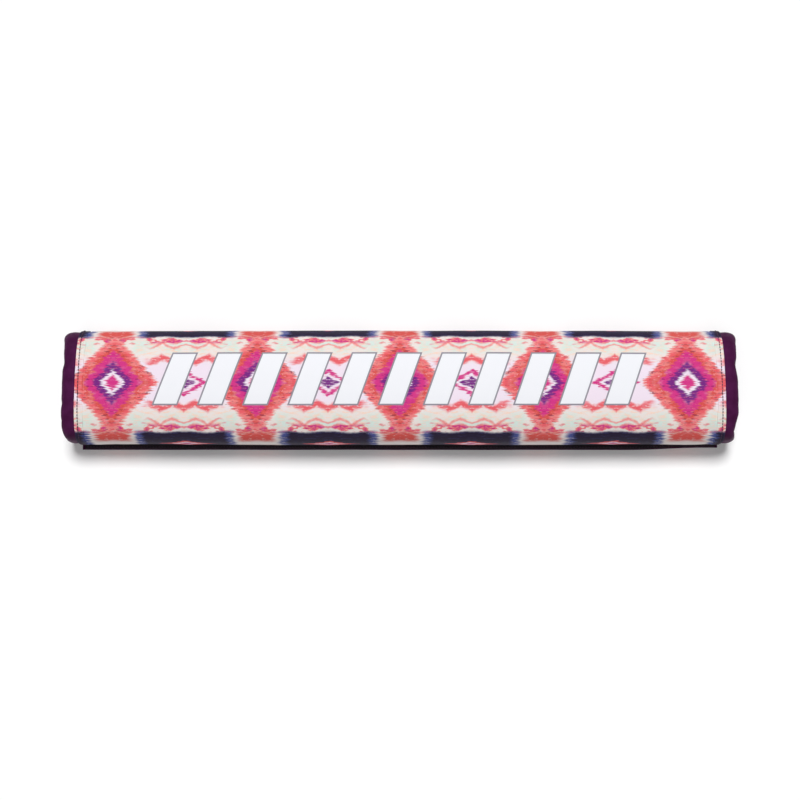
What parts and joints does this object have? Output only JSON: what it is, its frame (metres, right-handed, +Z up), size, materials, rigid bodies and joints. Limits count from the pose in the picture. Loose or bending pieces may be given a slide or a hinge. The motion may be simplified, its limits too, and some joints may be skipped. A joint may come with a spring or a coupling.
{
  "type": "roof rack pad",
  "caption": "Soft padded sleeve that wraps a flat roof bar, with a printed cover, stuffed ends, an open tunnel and a hook-and-loop flap underneath.",
  "frame": {"origin": "on the floor under the middle of the pad, on the underside of the closure flap", "axes": "+X along the pad and the roof bar, -Y towards the flap's free edge, +Z up to the crown"},
  "size_m": [0.711, 0.1235, 0.066],
  "materials": {
    "printed_cover": "woven polyester with a soft ikat print",
    "foam": "closed-cell foam",
    "lining": "smooth woven nylon, slight sheen",
    "tape": "black hook-and-loop tape"
  },
  "bodies": {
    "root": {"outer_cover": "printed_cover", "foam_core": "foam", "inner_lining": "lining", "end_gusset_left": "lining", "end_gusset_right": "lining", "closure_flap": "lining", "hook_tape": "tape", "loop_tape": "tape"}
  },
  "joints": []
}
